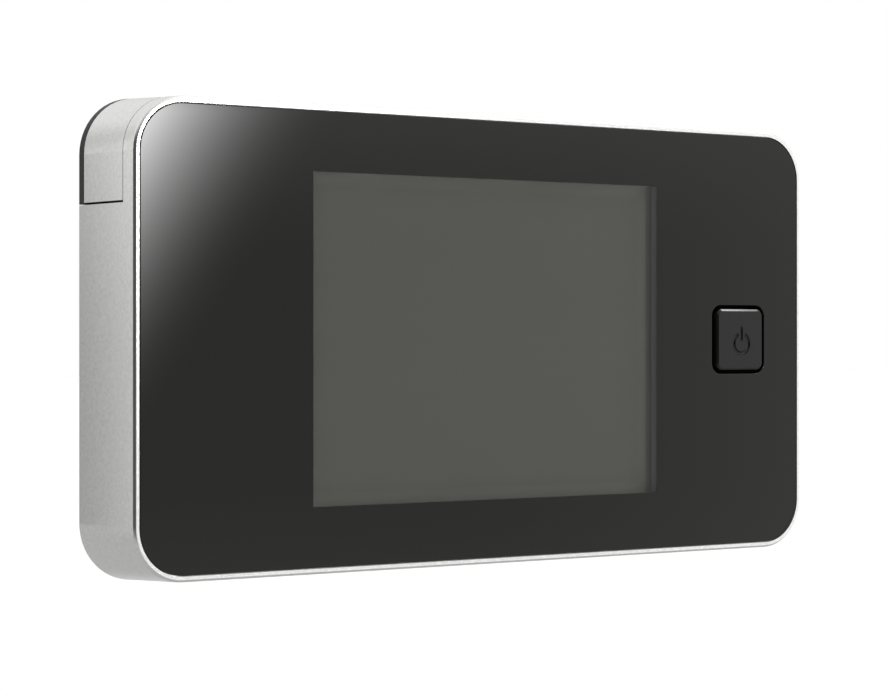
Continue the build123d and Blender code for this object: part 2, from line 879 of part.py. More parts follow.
def wall_bracket():
    """Stamped steel plate with four hooks bent out of it, screw holes and the cable's slot."""
    outline = RectangleRounded(bracket_width, bracket_height, bracket_corner)
    for side in (-1, 1):
        outline -= Pos(side * clamp_screw_x, 0) * Circle(clamp_screw_radius + clamp_hole_clearance)
    outline -= Rectangle(ribbon_slot_width, ribbon_slot_height)
    lip_back = front_y + recess_floor_front - hook_gap
    neck_length = -bracket_thickness - lip_back
    window_height_here = neck_length + bracket_thickness + hook_lip
    for x, z in hook_places():
        window_here = Rectangle(hook_width + hook_side_gap, window_height_here)
        outline -= Pos(x, z + window_height_here / 2) * window_here
    bracket = slab(outline, -bracket_thickness, 0)
    for x, z in hook_places():
        bracket += hook(x, z, lip_back)
    return bracket


def hook(x, z, lip_back):
    """One hook: a neck towards the monitor and a lip that points up."""
    lip_front = lip_back - bracket_thickness
    profile = Polyline((0, z - bracket_thickness), (lip_front, z - bracket_thickness),
                       (lip_front, z + hook_lip), (lip_back, z + hook_lip),
                       (lip_back, z), (0, z), close=True)
    bent = along_x(make_face(profile), x - hook_width / 2, x + hook_width / 2)
    bend = bent.edges().filter_by(Axis.X).sort_by(Axis.Y)[:2].sort_by(Axis.Z)[0]
    return fillet(bend, bracket_thickness - hook_gap)


def clamp_screws():
    """Two long screws that pull the camera and the bracket together through the door."""
    screws = []
    for side in (-1, 1):
        place = Pos(side * clamp_screw_x, 0)
        shank = slab(place * Circle(clamp_screw_radius), -bracket_thickness, clamp_screw_reach)
        head_end = -bracket_thickness - clamp_head_height
        head = slab(place * Circle(clamp_head_radius), head_end, -bracket_thickness)
        head = fillet(head.faces().sort_by(Axis.Y)[0].edges(), clamp_head_height / 2)
        screws.append(shank + head)
    return group(screws)


# Camera through the door

def camera_housing():
    """Barrel with two screw channels and the cable's slot, and the round head outside the door."""
    barrel = slab(Circle(barrel_radius), 0, head_back + head_floor / 2)
    barrel += slab(Circle(barrel_radius + door_seal_step), door_thickness, head_back + head_floor / 2)
    head = slab(Circle(head_radius), head_back, head_front)
    head = fillet(head.faces().sort_by(Axis.Y)[0].edges(), head_edge)
    head -= slab(Circle(head_bore), head_back + head_floor, head_front + overrun)
    housing = head + barrel
    for side in (-1, 1):
        channel = Pos(side * clamp_screw_x, 0) * Circle(clamp_screw_radius + clamp_screw_fit)
        housing -= slab(channel, -overrun, clamp_screw_reach + clamp_channel_margin)
        housing += slab(Pos(side * standoff_x, 0) * Circle(standoff_radius), head_back + head_floor,
                        sensor_board_back)
        screw_hole = Pos(side * standoff_x, 0) * Circle(small_screw_radius + small_screw_fit)
        housing -= slab(screw_hole, sensor_board_front - sensor_screw_length - head_clearance,
                        sensor_board_back + overrun)
    slot = Rectangle(ribbon_slot_width, ribbon_slot_height)
    return housing - slab(slot, -overrun, head_front)


def door_gasket():
    """Soft ring between the head and the outside of the door."""
    inner = barrel_radius + door_seal_step + door_seal_gap
    return slab(ring(head_radius, inner), door_thickness, head_back)


def sensor_board():
    board = Circle(sensor_board_radius)
    for side in (-1, 1):
        board -= Pos(side * standoff_x, 0) * Circle(small_screw_radius + head_clearance)
    return slab(board, sensor_board_back, sensor_board_front)


def sensor_screws():
    screws = []
    for side in (-1, 1):
        place = Pos(side * standoff_x, 0)
        shank = slab(place * Circle(small_screw_radius), sensor_board_front - sensor_screw_length,
                     sensor_board_front)
        screws.append(shank + slab(place * Circle(small_head_radius), sensor_board_front,
                                   sensor_board_front + small_head_height))
    return group(screws)


def sensor_socket():
    return slab(Rectangle(sensor_socket_width, sensor_socket_length),
                sensor_board_back - sensor_socket_height, sensor_board_back)


def image_sensor():
    return slab(Rectangle(sensor_size, sensor_size), sensor_board_front, sensor_board_front + sensor_height)


def lens_holder():
    """Square foot round the sensor with a tube for the lens barrel."""
    base_end = sensor_board_front + holder_base_height
    tube_end = sensor_board_front + holder_length
    bore = lens_barrel_radius + lens_barrel_fit
    holder = slab(Rectangle(holder_size, holder_size), sensor_board_front, base_end)
    holder += slab(Circle(bore + holder_wall), sensor_board_front + holder_base_height / 2, tube_end)
    holder -= slab(Rectangle(filter_size, filter_size), sensor_board_front - overrun,
                   sensor_board_front + filter_rise + filter_thickness)
    return holder - slab(Circle(bore), lens_barrel_back() - holder_roof, tube_end + overrun)


def infrared_filter():
    front = sensor_board_front + filter_rise
    size = filter_size - 2 * can_gap
    return slab(Rectangle(size, size), front, front + filter_thickness)


def lens_barrel_back():
    return sensor_board_front + lens_barrel_start


def lens_barrel():
    """Threaded tube that holds the lens elements."""
    back = lens_barrel_back()
    front = back + lens_barrel_length
    tube = slab(Circle(lens_barrel_radius), back, front)
    tube -= slab(Circle(rear_element_radius), back - overrun, front + overrun)
    tube -= slab(Circle(front_element_radius), front - front_element_thickness - front_element_sunk,
                 front + overrun)
    return tube


def domed_disc(radius, back, thickness, crown):
    """Round glass with a flat back and a gently domed front."""
    edge = back + thickness - crown
    tip = back + thickness
    outline = Polyline((0, tip), (0, back), (radius, back), (radius, edge))
    half_chord = math.hypot(radius, crown) / 2
    bulge = half_chord * math.tan(math.atan(crown / radius) / 2)
    middle_x = radius / 2 + bulge * crown / (2 * half_chord)
    middle_y = (edge + tip) / 2 + bulge * radius / (2 * half_chord)
    dome = ThreePointArc((radius, edge), (middle_x, middle_y), (0, tip))
    return turned(make_face(outline + dome))


def lens_rear_element():
    back = lens_barrel_back() + holder_roof
    radius = rear_element_radius - lens_barrel_fit
    return domed_disc(radius, back, rear_element_thickness, front_element_crown / 2)


def lens_front_element():
    front = lens_barrel_back() + lens_barrel_length
    back = front - front_element_thickness - front_element_sunk
    return domed_disc(front_element_radius - lens_barrel_fit, back,
                      front_element_thickness + front_element_sunk / 2, front_element_crown)


def camera_bezel():
    """Round cover screwed into the head: skirt, shoulder and a raised rim round the window."""
    skirt = head_bore - bezel_skirt_fit
    skirt_inner = skirt - bezel_skirt_wall
    skirt_end = head_front - bezel_skirt_length
    seat_back = window_back - window_seal_thickness - window_seat_thickness
    seat_front = window_back - window_seal_thickness
    bore = window_radius + window_fit
    rim_front = head_front + bezel_height
    rim_outer = bore + bezel_rim_width
    shoulder_start = head_front + bezel_wall
    profile = Polyline((skirt_inner, skirt_end), (skirt, skirt_end), (skirt, head_front),
                       (head_radius, head_front), (head_radius, shoulder_start))
    rim_foot = (rim_outer + bezel_rim_slope, rim_front - bezel_rim_proud)
    middle = shoulder_middle(shoulder_start, rim_foot)
    shoulder = ThreePointArc((head_radius, shoulder_start), middle, rim_foot)
    rest = Polyline(rim_foot, (rim_outer, rim_front), (bore, rim_front), (bore, seat_front),
                    (window_radius - window_seat, seat_front), (window_radius - window_seat, seat_back),
                    (skirt_inner, head_front), (skirt_inner, skirt_end))
    return turned(make_face(profile + shoulder + rest))


def shoulder_middle(shoulder_start, rim_foot):
    """Point on the bezel's bulged shoulder, halfway up and a little outside the straight line."""
    bulge_share = 0.18
    rise = rim_foot[1] - shoulder_start
    run = head_radius - rim_foot[0]
    middle = ((head_radius + rim_foot[0]) / 2, (shoulder_start + rim_foot[1]) / 2)
    return (middle[0] + bulge_share * rise, middle[1] + bulge_share * run)


def window_seal():
    outline = ring(window_radius, window_radius - window_seat)
    return slab(outline, window_back - window_seal_thickness, window_back)


def camera_window():
    return domed_disc(window_radius, window_back, window_thickness, window_crown)


def all_parts():
    body = outer_body()
    return {
        "front_frame": front_frame(body),
        "front_lens": front_lens(),
        "lens_mask": lens_mask(),
        "lens_tape": lens_tape(),
        "lcd_gasket": lcd_gasket(),
        "lcd_panel": lcd_panel(),
        "lcd_backlight": lcd_backlight(),
        "lcd_can": lcd_can(),
        "lcd_tape": lcd_tape(),
        "lcd_flex": lcd_flex(),
        "main_board": main_board(),
        "processor_chip": processor_chip(),
        "memory_chip": memory_chip(),
        "power_inductor": power_inductor(),
        "capacitors": capacitors(),
        "camera_socket": camera_socket(),
        "lcd_socket": lcd_socket(),
        "board_screws": board_screws(),
        "tact_switch": tact_switch(),
        "switch_plunger": switch_plunger(),
        "button_cap": button_cap(),
        "battery_tray": battery_tray(),
        "battery_cell_left": battery_cell(first_cell_x),
        "battery_cell_right": battery_cell(first_cell_x + cell_length),
        "negative_contact": negative_contact(),
        "negative_spring": negative_spring(),
        "positive_contact": positive_contact(),
        "tray_screws": tray_screws(),
        "battery_cover": battery_cover(body),
        "rear_cover": rear_cover(body),
        "case_screws": case_screws(),
        "rear_pads": rear_pads(),
        "wall_bracket": wall_bracket(),
        "clamp_screws": clamp_screws(),
        "camera_housing": camera_housing(),
        "door_gasket": door_gasket(),
        "sensor_board": sensor_board(),
        "sensor_screws": sensor_screws(),
        "sensor_socket": sensor_socket(),
        "image_sensor": image_sensor(),
        "lens_holder": lens_holder(),
        "infrared_filter": infrared_filter(),
        "lens_barrel": lens_barrel(),
        "lens_rear_element": lens_rear_element(),
        "lens_front_element": lens_front_element(),
        "camera_bezel": camera_bezel(),
        "window_seal": window_seal(),
        "camera_window": camera_window(),
    }


os.makedirs("parts", exist_ok=True)
for name, part in all_parts().items():
    export_step(part, f"parts/{name}.step")
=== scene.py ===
import json
import math
from collections import namedtuple

import bmesh
import bpy
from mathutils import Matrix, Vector


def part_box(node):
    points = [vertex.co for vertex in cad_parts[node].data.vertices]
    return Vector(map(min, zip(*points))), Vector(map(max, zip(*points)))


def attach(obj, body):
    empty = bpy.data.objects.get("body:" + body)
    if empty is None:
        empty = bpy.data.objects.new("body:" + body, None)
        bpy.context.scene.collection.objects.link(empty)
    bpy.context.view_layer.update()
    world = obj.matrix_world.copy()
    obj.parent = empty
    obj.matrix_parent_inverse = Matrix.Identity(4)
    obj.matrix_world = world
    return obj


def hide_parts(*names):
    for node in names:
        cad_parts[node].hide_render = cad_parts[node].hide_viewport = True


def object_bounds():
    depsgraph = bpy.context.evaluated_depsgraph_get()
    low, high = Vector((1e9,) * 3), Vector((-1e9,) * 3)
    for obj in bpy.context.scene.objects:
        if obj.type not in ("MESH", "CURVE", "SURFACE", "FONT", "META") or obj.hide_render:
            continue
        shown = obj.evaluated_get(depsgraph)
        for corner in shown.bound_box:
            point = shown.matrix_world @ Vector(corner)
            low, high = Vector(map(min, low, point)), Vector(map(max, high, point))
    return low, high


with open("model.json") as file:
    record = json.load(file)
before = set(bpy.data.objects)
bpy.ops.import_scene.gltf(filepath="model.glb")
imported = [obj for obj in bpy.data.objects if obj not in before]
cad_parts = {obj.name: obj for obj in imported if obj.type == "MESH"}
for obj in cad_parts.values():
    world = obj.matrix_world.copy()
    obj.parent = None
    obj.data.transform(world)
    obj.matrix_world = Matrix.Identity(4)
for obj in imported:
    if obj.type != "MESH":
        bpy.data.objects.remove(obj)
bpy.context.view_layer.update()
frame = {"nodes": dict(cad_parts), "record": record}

# Looks of the peephole door camera. Metres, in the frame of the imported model:
# X to the right of a person indoors, Y out through the door, Z up.
MM = 0.001
SLIVER = 0.02 * MM

# View
CAMERA_PLACE = (-0.2420, -0.3383, -0.0003)
VIEW_HEADING = math.radians(35.70)
FOCAL_LENGTH = 107.5
SENSOR_WIDTH = 36.0
FRAME_SHIFT = -0.00473
NEAREST_SEEN = 10 * MM

# Floor, and the room's light where no area below covers it
FLOOR_DROP = 60 * MM
FLOOR_REACH = 6.0
FLOOR_COLOUR = (0.86, 0.86, 0.85, 1)
FLOOR_ROUGHNESS = 0.9
FLOOR_LIFT = 0.25
ROOM_LIGHT = 0.82

# Areas of the room that are brighter or darker than the rest, each laid over those before
# it, with soft edges. Angles are in degrees: heights from the horizon up, and headings
# from -Y towards +X, or from +Y towards +X for an area behind the object.
Area = namedtuple("Area", "behind left right left_soft right_soft low high low_soft high_soft light")
AREAS = (
    Area(False, 35, 150, 18, 30, -200, 200, 1, 1, 1.5),         # right
    Area(False, 14, 150, 10, 30, 1.6, 75, 4.6, 20, 1.35),       # right, above the horizon
    Area(False, 14, 150, 10, 30, -75, -2.5, 20, 6, 1.3),        # right, below the horizon
    Area(True, -45, 100, 30, 30, -2, 75, 30, 20, 1.0),          # behind
    Area(False, -400, 400, 1, 1, -200, -10, 1, 25, 0.55),       # all round, below
    Area(False, -190, -40, 20, 40, -60, 34, 10, 22, 0.57),      # left
    Area(False, -164, -90, 34, 20, -14, 5.5, 12, 4, 0.08),      # left, at the horizon
    Area(False, -125, 8, 25, 10, -24, 45, 18, 30, 0.08),        # front and left
    Area(False, -400, 400, 1, 1, 50, 200, 30, 1, 1.1),          # ceiling
)

# Lamps in the room, brightest at their middle and gone at their width and tallness
Lamp = namedtuple("Lamp", "heading height width tallness fall light")
LAMPS = (
    Lamp(28.7, 4.95, 5.4, 8.6, 3.47, 40.0),
    Lamp(90.0, 53.0, 24.0, 14.0, 1.0, 18.0),
)

# Reflector card
CARD_PLACE = (-0.1477, 0.0843, 0.05)
CARD_AIM = (-0.063, -0.008, 0.0)
CARD_SIZE = (0.04, 0.24)
CARD_LIGHT = 0.5

# Grain: the range that most of a noise pattern lies in, how finely it is broken up, and
# how many grains across its patches of lighter and darker tone are
NOISE_LOW = 0.3
NOISE_HIGH = 0.7
GRAIN_DETAIL = 3.0
PATCH_DETAIL = 2.0
PLAIN_DETAIL = 1.0
MOULDED_PATCH_GRAINS = 40
METAL_PATCH_GRAINS = 60

# Moulded, painted, foam and rubber surfaces
Moulded = namedtuple("Moulded", "colour roughness grain_size grain_depth",
                     defaults=(0.35 * MM, 0.004 * MM))
MOULDED_TONE_SHARE = 0.12
MOULDED_GLOSS_SHARE = 0.1
MOULDED = {
    "black_print": Moulded((0.055, 0.055, 0.050), 0.6),
    "foam_tape": Moulded((0.03, 0.03, 0.03), 0.9, 0.3 * MM, 0.02 * MM),
    "black_foam": Moulded((0.13, 0.13, 0.12), 0.95, 0.3 * MM, 0.03 * MM),
    "light_guide": Moulded((0.78, 0.80, 0.80), 0.25),
    "chip_black": Moulded((0.02, 0.02, 0.022), 0.5),
    "sensor_glass": Moulded((0.03, 0.05, 0.06), 0.08),
    "socket_plastic": Moulded((0.74, 0.71, 0.62), 0.45),
    "switch_plunger": Moulded((0.02, 0.02, 0.02), 0.5),
    "black_button": Moulded((0.007, 0.007, 0.007), 0.2),
    "black_shell": Moulded((0.018, 0.018, 0.018), 0.5, 0.5 * MM, 0.012 * MM),
    "pad_rubber": Moulded((0.022, 0.022, 0.022), 0.85),
    "gasket_rubber": Moulded((0.02, 0.02, 0.02), 0.8),
    "bracket_steel": Moulded((0.05, 0.05, 0.05), 0.45, 0.4 * MM, 0.015 * MM),
    "lens_black": Moulded((0.012, 0.012, 0.012), 0.4),
}

# Bare and plated metals, with their grain drawn out along one direction where brushed
Metal = namedtuple("Metal", "colour roughness stretch", defaults=(None,))
METAL_GRAIN_SIZE = 0.15 * MM
METAL_GRAIN_DEPTH = 0.0008 * MM
METAL_TONE_SHARE = 0.04
METAL_GLOSS_SHARE = 0.15
METALS = {
    "bright_steel": Metal((0.62, 0.62, 0.61), 0.22, (1, 1, 30)),
    "capacitor_can": Metal((0.60, 0.61, 0.62), 0.3),
    "screw_steel": Metal((0.50, 0.50, 0.49), 0.25),
    "switch_body": Metal((0.55, 0.55, 0.53), 0.3),
    "contact_steel": Metal((0.66, 0.64, 0.58), 0.2),
    "camera_metal": Metal((0.44, 0.44, 0.435), 0.32),
}

# Clear pieces
Glass = namedtuple("Glass", "tint reflected", defaults=((0.97, 0.98, 0.97, 1), (1, 1, 1, 1)))
GLASS_REFRACTION = 1.52
GLASS_ROUGHNESS = 0.01
GLASSES = {
    "filter_glass": Glass((0.75, 0.85, 0.9, 1), (1, 0.5, 0.5, 1)),
    "lens_glass": Glass(reflected=(0.55, 0.9, 0.75, 1)),
    "window_glass": Glass(),
}

# Silver casing
SILVER_ROUGHNESS = 0.20
SILVER_GRAIN_SIZE = 0.12 * MM
SILVER_GRAIN_DEPTH = 0.0006 * MM
SPECKLE_SIZE = 0.45 * MM
SPECKLE_LIGHT = (0.94, 0.94, 0.93, 1)
SPECKLE_DARK = (0.85, 0.85, 0.84, 1)

# Front panel and button
panel_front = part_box("front_lens")[0].y
cap_low, cap_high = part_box("button_cap")
# Depth behind the panel's front past which gloss is taken away: painted shade in the button's hole and on
# the cap's flange
PAINTED_SHADE_DEPTH = 0.31 * MM
BUTTON_GLOSS = 0.39
PANEL_GLOSS = 0.5
PANEL_ROUGHNESS = 0.02
PANEL_BLACK = (0.0030, 0.0024, 0.0010, 1)
# Grey of the print's edge seen from within the lens, painted paler than the print to make up for the
# shade it lies in
PRINT_EDGE_WITH_PAINTED_LIGHT = (0.165, 0.165, 0.150, 1)
PANE_TINT = (1, 1, 1, 1)
LENS_REFRACTION = 1.45
WINDOW_CENTRE = -0.85 * MM
WINDOW_WIDTH = 64.9 * MM
WINDOW_HEIGHT = 48.65 * MM

# Screen
ACTIVE_WIDTH = 64.8 * MM
ACTIVE_RIGHT_GAP = 0.7 * MM
ACTIVE_HEIGHT = 49.4 * MM
SCREEN_BORDER = (0.104, 0.104, 0.094, 1)
SCREEN_DARK = (0.102, 0.102, 0.088, 1)
SCREEN_LIGHT = (0.106, 0.106, 0.092, 1)
SCREEN_TONE_SIZE = 30 * MM
SCREEN_ROUGHNESS = 0.6
SCREEN_GLOSS = 0.1
# Painted light: the paler grey laid on the screen near its right side and its ends, where the frame
# shades it, how far in it reaches, and its share at the side
PAINTED_LIGHT_GREY = (0.158, 0.158, 0.138, 1)
PAINTED_LIGHT_WIDTH = 2.2 * MM
PAINTED_LIGHT_SIDE_SHARE = 0.7

# Circuit boards, ribbon and cells
BOARD_GREEN = (0.008, 0.10, 0.045, 1)
TRACE_GREEN = (0.02, 0.20, 0.09, 1)
TRACE_PITCH = 0.8 * MM
TRACE_SHARE = 0.45
TRACE_RELIEF = 0.03 * MM
TRACE_PATCH = 9 * MM
PATCH_ALONG_FROM = 0.52
PATCH_ACROSS_FROM = 0.46
PATCH_EDGE = 0.01
VIA_TIN = (0.55, 0.55, 0.52, 1)
VIA_SPACING = 3.5 * MM
VIA_RADIUS_SHARE = 0.12
FILM_AMBER = (0.42, 0.17, 0.03, 1)
FILM_COPPER = (0.55, 0.27, 0.08, 1)
RIBBON_PITCH = 0.8 * MM
RIBBON_SHARE = 0.55
RIBBON_RELIEF = 0.02 * MM
BOARD_ROUGHNESS = 0.35
CELL_STEEL = (0.62, 0.61, 0.58, 1)
CELL_BLUE = (0.03, 0.10, 0.28, 1)
CELL_RIM = 1.3 * MM
CELL_ROUGHNESS = 0.25

# Meshes made from the solids
WELD = 0.002 * MM
SHARP_ANGLE = math.radians(32)

# Standby sign on the button
SIGN_SHIFT = 0.23 * MM
SIGN_DROP = 0.68 * MM
SIGN_RADIUS = 1.6 * MM
SIGN_OPENING = math.radians(33)
SIGN_STEPS = 48
SIGN_STROKE = 0.305 * MM
SIGN_DEPTH = 0.25 * MM
SIGN_BAR_LOW = 0.7 * MM
SIGN_BAR_HIGH = 2.5 * MM
STROKE_SIDES = 20
END_TILTS = [math.radians(angle) for angle in (30, 60)]

# Print behind the lens
PRINT_GAP = 0.02 * MM

# Screws
Thread = namedtuple("Thread", "crest depth pitch")
SMALL_THREAD = Thread(0.95 * MM, 0.17 * MM, 0.45 * MM)
CLAMP_THREAD = Thread(1.5 * MM, 0.27 * MM, 0.5 * MM)
SMALL_HEAD_HEIGHT = 1.1 * MM
CLAMP_HEAD_HEIGHT = 1.9 * MM
HEAD_EDGE_SHARE = 0.5
HEAD_TILTS = [math.radians(angle) for angle in (0, 22, 45, 68, 90)]
SCREW_SIDES = 24
ROWS_A_TURN = 6
CROSS_TURNS = [math.radians(angle) for angle in (45, 135, 225, 315)]
CROSS_LONG_SHARE = 0.60
CROSS_WIDE_SHARE = 0.15
CROSS_DEPTH_SHARE = 0.70
CROSS_FLOOR_SHARE = 0.55


# Node helpers

def add_node(tree, kind, **settings):
    node = tree.nodes.new(kind)
    for name, value in settings.items():
        setattr(node, name, value)
    return node


def feed(tree, value, socket):
    """Links an output to a socket, or sets the socket to a plain value."""
    if isinstance(value, bpy.types.NodeSocket):
        tree.links.new(value, socket)
    else:
        socket.default_value = value


def calculate(tree, operation, first, second=None, clamp=False):
    node = add_node(tree, "ShaderNodeMath", operation=operation, use_clamp=clamp)
    feed(tree, first, node.inputs[0])
    if second is not None:
        feed(tree, second, node.inputs[1])
    return node.outputs[0]


def scaled(tree, value, low, high, new_low=0.0, new_high=1.0, smooth=False):
    """Value mapped from one range to another and held inside it."""
    node = add_node(tree, "ShaderNodeMapRange", clamp=True,
                    interpolation_type="SMOOTHSTEP" if smooth else "LINEAR")
    for socket, item in zip(node.inputs, (value, low, high, new_low, new_high)):
        feed(tree, item, socket)
    return node.outputs[0]


def blended(tree, factor, first, second):
    """Colour that goes from first to second."""
    node = add_node(tree, "ShaderNodeMix", data_type="RGBA")
    feed(tree, factor, node.inputs["Factor"])
    feed(tree, first, node.inputs[6])
    feed(tree, second, node.inputs[7])
    return node.outputs[2]


def mixed(tree, factor, first, second):
    """Shader that goes from first to second."""
    node = add_node(tree, "ShaderNodeMixShader")
    feed(tree, factor, node.inputs[0])
    tree.links.new(first, node.inputs[1])
    tree.links.new(second, node.inputs[2])
    return node.outputs[0]


Place = namedtuple("Place", "point x y z")


def place_on_piece(tree):
    """Place on the piece, in metres, which moves with it."""
    point = add_node(tree, "ShaderNodeTexCoord").outputs["Object"]
    split = add_node(tree, "ShaderNodeSeparateXYZ")
    tree.links.new(point, split.inputs[0])
    return Place(point, *split.outputs)


def noise(tree, point, size, detail=PATCH_DETAIL, stretch=None):
    """Soft random pattern whose blobs are about size across."""
    if stretch:
        mapping = add_node(tree, "ShaderNodeMapping")
        tree.links.new(point, mapping.inputs["Vector"])
        mapping.inputs["Scale"].default_value = stretch
        point = mapping.outputs[0]
    node = add_node(tree, "ShaderNodeTexNoise")
    tree.links.new(point, node.inputs["Vector"])
    node.inputs["Scale"].default_value = 1 / size
    node.inputs["Detail"].default_value = detail
    return node.outputs[0]


def inside(tree, value, low, high):
    """1 between low and high and 0 outside, with a hair-thin ramp."""
    rise = scaled(tree, value, low - SLIVER, low + SLIVER)
    fall = scaled(tree, value, high - SLIVER, high + SLIVER, 1.0, 0.0)
    return calculate(tree, "MULTIPLY", rise, fall)


def stripes(tree, value, pitch, share):
    """1 on the given share of each pitch."""
    along = calculate(tree, "FRACT", calculate(tree, "MULTIPLY", value, 1 / pitch))
    return calculate(tree, "LESS_THAN", along, share)


def relief(tree, shader, height, depth):
    """Raises and sinks the surface by a pattern."""
    node = add_node(tree, "ShaderNodeBump")
    node.inputs["Distance"].default_value = depth
    tree.links.new(height, node.inputs["Height"])
    tree.links.new(node.outputs[0], shader.inputs["Normal"])


def seen_directly(tree):
    """1 for what the camera sees straight or through a clear piece."""
    path = add_node(tree, "ShaderNodeLightPath")
    return calculate(tree, "MAXIMUM", path.outputs["Is Camera Ray"], path.outputs["Is Transmission Ray"])


def new_material(name):
    material = bpy.data.materials.new(name)
    material.use_nodes = True
    return material, material.node_tree, material.node_tree.nodes["Principled BSDF"]


# Surface finishes

def grained(name, roughness, gloss_share, grain_size, grain_depth, stretch=None):
    """Surface with fine grain in its relief and its gloss, still without a colour."""
    material, tree, shader = new_material(name)
    fine = noise(tree, place_on_piece(tree).point, grain_size, GRAIN_DETAIL, stretch)
    gloss = scaled(tree, fine, NOISE_LOW, NOISE_HIGH, roughness * (1 - gloss_share),
                   roughness * (1 + gloss_share))
    tree.links.new(gloss, shader.inputs["Roughness"])
    relief(tree, shader, fine, grain_depth)
    return material, tree, shader


def coloured(tree, shader, colour, tone_share, patch_size):
    """Gives a surface its colour, a little darker and lighter from patch to patch."""
    broad = noise(tree, place_on_piece(tree).point, patch_size)
    dark = tuple(channel * (1 - tone_share) for channel in colour) + (1,)
    light = tuple(min(1, channel * (1 + tone_share)) for channel in colour) + (1,)
    tree.links.new(blended(tree, broad, dark, light), shader.inputs["Base Color"])


def moulded(name):
    look = MOULDED[name]
    material, tree, shader = grained(name, look.roughness, MOULDED_GLOSS_SHARE,
                                     look.grain_size, look.grain_depth)
    coloured(tree, shader, look.colour, MOULDED_TONE_SHARE, MOULDED_PATCH_GRAINS * look.grain_size)
    return material


def metal(name):
    look = METALS[name]
    material, tree, shader = grained(name, look.roughness, METAL_GLOSS_SHARE,
                                     METAL_GRAIN_SIZE, METAL_GRAIN_DEPTH, look.stretch)
    coloured(tree, shader, look.colour, METAL_TONE_SHARE, METAL_PATCH_GRAINS * METAL_GRAIN_SIZE)
    shader.inputs["Metallic"].default_value = 1.0
    return material


def clear(tree, refraction, roughness, tint, reflected):
    """Shader of a thin clear piece: it shows what is behind it and reflects at its front."""
    see_through = add_node(tree, "ShaderNodeBsdfTransparent")
    see_through.inputs["Color"].default_value = tint
    gloss = add_node(tree, "ShaderNodeBsdfGlossy")
    gloss.inputs["Color"].default_value = reflected
    gloss.inputs["Roughness"].default_value = roughness
    fresnel = add_node(tree, "ShaderNodeFresnel")
    fresnel.inputs["IOR"].default_value = refraction
    backfacing = add_node(tree, "ShaderNodeNewGeometry").outputs["Backfacing"]
    front = calculate(tree, "SUBTRACT", 1.0, backfacing)
    share = calculate(tree, "MULTIPLY", fresnel.outputs[0], front, clamp=True)
    return mixed(tree, share, see_through.outputs[0], gloss.outputs[0])


def glass(name):
    look = GLASSES[name]
    material, tree, shader = new_material(name)
    output = tree.nodes["Material Output"]
    tree.nodes.remove(shader)
    pane = clear(tree, GLASS_REFRACTION, GLASS_ROUGHNESS, look.tint, look.reflected)
    tree.links.new(pane, output.inputs["Surface"])
    return material


# Camera

def build_camera():
    data = bpy.data.cameras.new("photo_camera")
    data.lens = FOCAL_LENGTH
    data.sensor_width = SENSOR_WIDTH
    data.shift_y = FRAME_SHIFT
    data.clip_start = NEAREST_SEEN
    camera = bpy.data.objects.new("photo_camera", data)
    camera.location = CAMERA_PLACE
    camera.rotation_euler = (math.pi / 2, 0, -VIEW_HEADING)
    bpy.context.scene.collection.objects.link(camera)
    bpy.context.scene.camera = camera
    bpy.context.scene.view_settings.view_transform = "Standard"


# Room: plain white to the camera, and bright and dark areas to everything else

def degrees_of(tree, radians):
    return calculate(tree, "MULTIPLY", radians, 180 / math.pi)


def soft_band(tree, value, low, high, low_soft, high_soft):
    """1 well inside a range and 0 outside it, with soft ends that lie inside the range."""
    rise = scaled(tree, value, low, low + low_soft, smooth=True)
    fall = scaled(tree, value, high - high_soft, high, 1.0, 0.0, smooth=True)
    return calculate(tree, "MULTIPLY", rise, fall)


def away(tree, value, centre, width):
    """How many widths a value lies from the centre."""
    gap = calculate(tree, "ABSOLUTE", calculate(tree, "SUBTRACT", value, centre))
    return calculate(tree, "MULTIPLY", gap, 1 / width)


def room_light(tree):
    """Brightness of the room in each direction."""
    direction = add_node(tree, "ShaderNodeTexCoord").outputs["Generated"]
    split = add_node(tree, "ShaderNodeSeparateXYZ")
    tree.links.new(direction, split.inputs[0])
    x, y, z = split.outputs
    ahead = degrees_of(tree, calculate(tree, "ARCTAN2", x, calculate(tree, "MULTIPLY", y, -1.0)))
    behind = degrees_of(tree, calculate(tree, "ARCTAN2", x, y))
    height = degrees_of(tree, calculate(tree, "ARCSINE", z))
    light = ROOM_LIGHT
    for area in AREAS:
        sideways = soft_band(tree, behind if area.behind else ahead, area.left, area.right,
                             area.left_soft, area.right_soft)
        upright = soft_band(tree, height, area.low, area.high, area.low_soft, area.high_soft)
        cover = calculate(tree, "MULTIPLY", sideways, upright)
        kept = calculate(tree, "MULTIPLY", light, calculate(tree, "SUBTRACT", 1.0, cover))
        light = calculate(tree, "ADD", kept, calculate(tree, "MULTIPLY", cover, area.light))
    for lamp in LAMPS:
        off = calculate(tree, "ADD", away(tree, ahead, lamp.heading, lamp.width),
                        away(tree, height, lamp.height, lamp.tallness))
        near = calculate(tree, "SUBTRACT", 1.0, off, clamp=True)
        glow = calculate(tree, "MULTIPLY", calculate(tree, "POWER", near, lamp.fall), lamp.light)
        light = calculate(tree, "ADD", light, glow)
    return light


def build_world():
    world = bpy.data.worlds.new("studio")
    bpy.context.scene.world = world
    world.use_nodes = True
    tree = world.node_tree
    tree.nodes.clear()
    studio = add_node(tree, "ShaderNodeBackground")
    tree.links.new(room_light(tree), studio.inputs["Strength"])
    white = add_node(tree, "ShaderNodeBackground")
    white.inputs["Color"].default_value = (1, 1, 1, 1)
    output = add_node(tree, "ShaderNodeOutputWorld")
    light = mixed(tree, seen_directly(tree), studio.outputs[0], white.outputs[0])
    tree.links.new(light, output.inputs["Surface"])


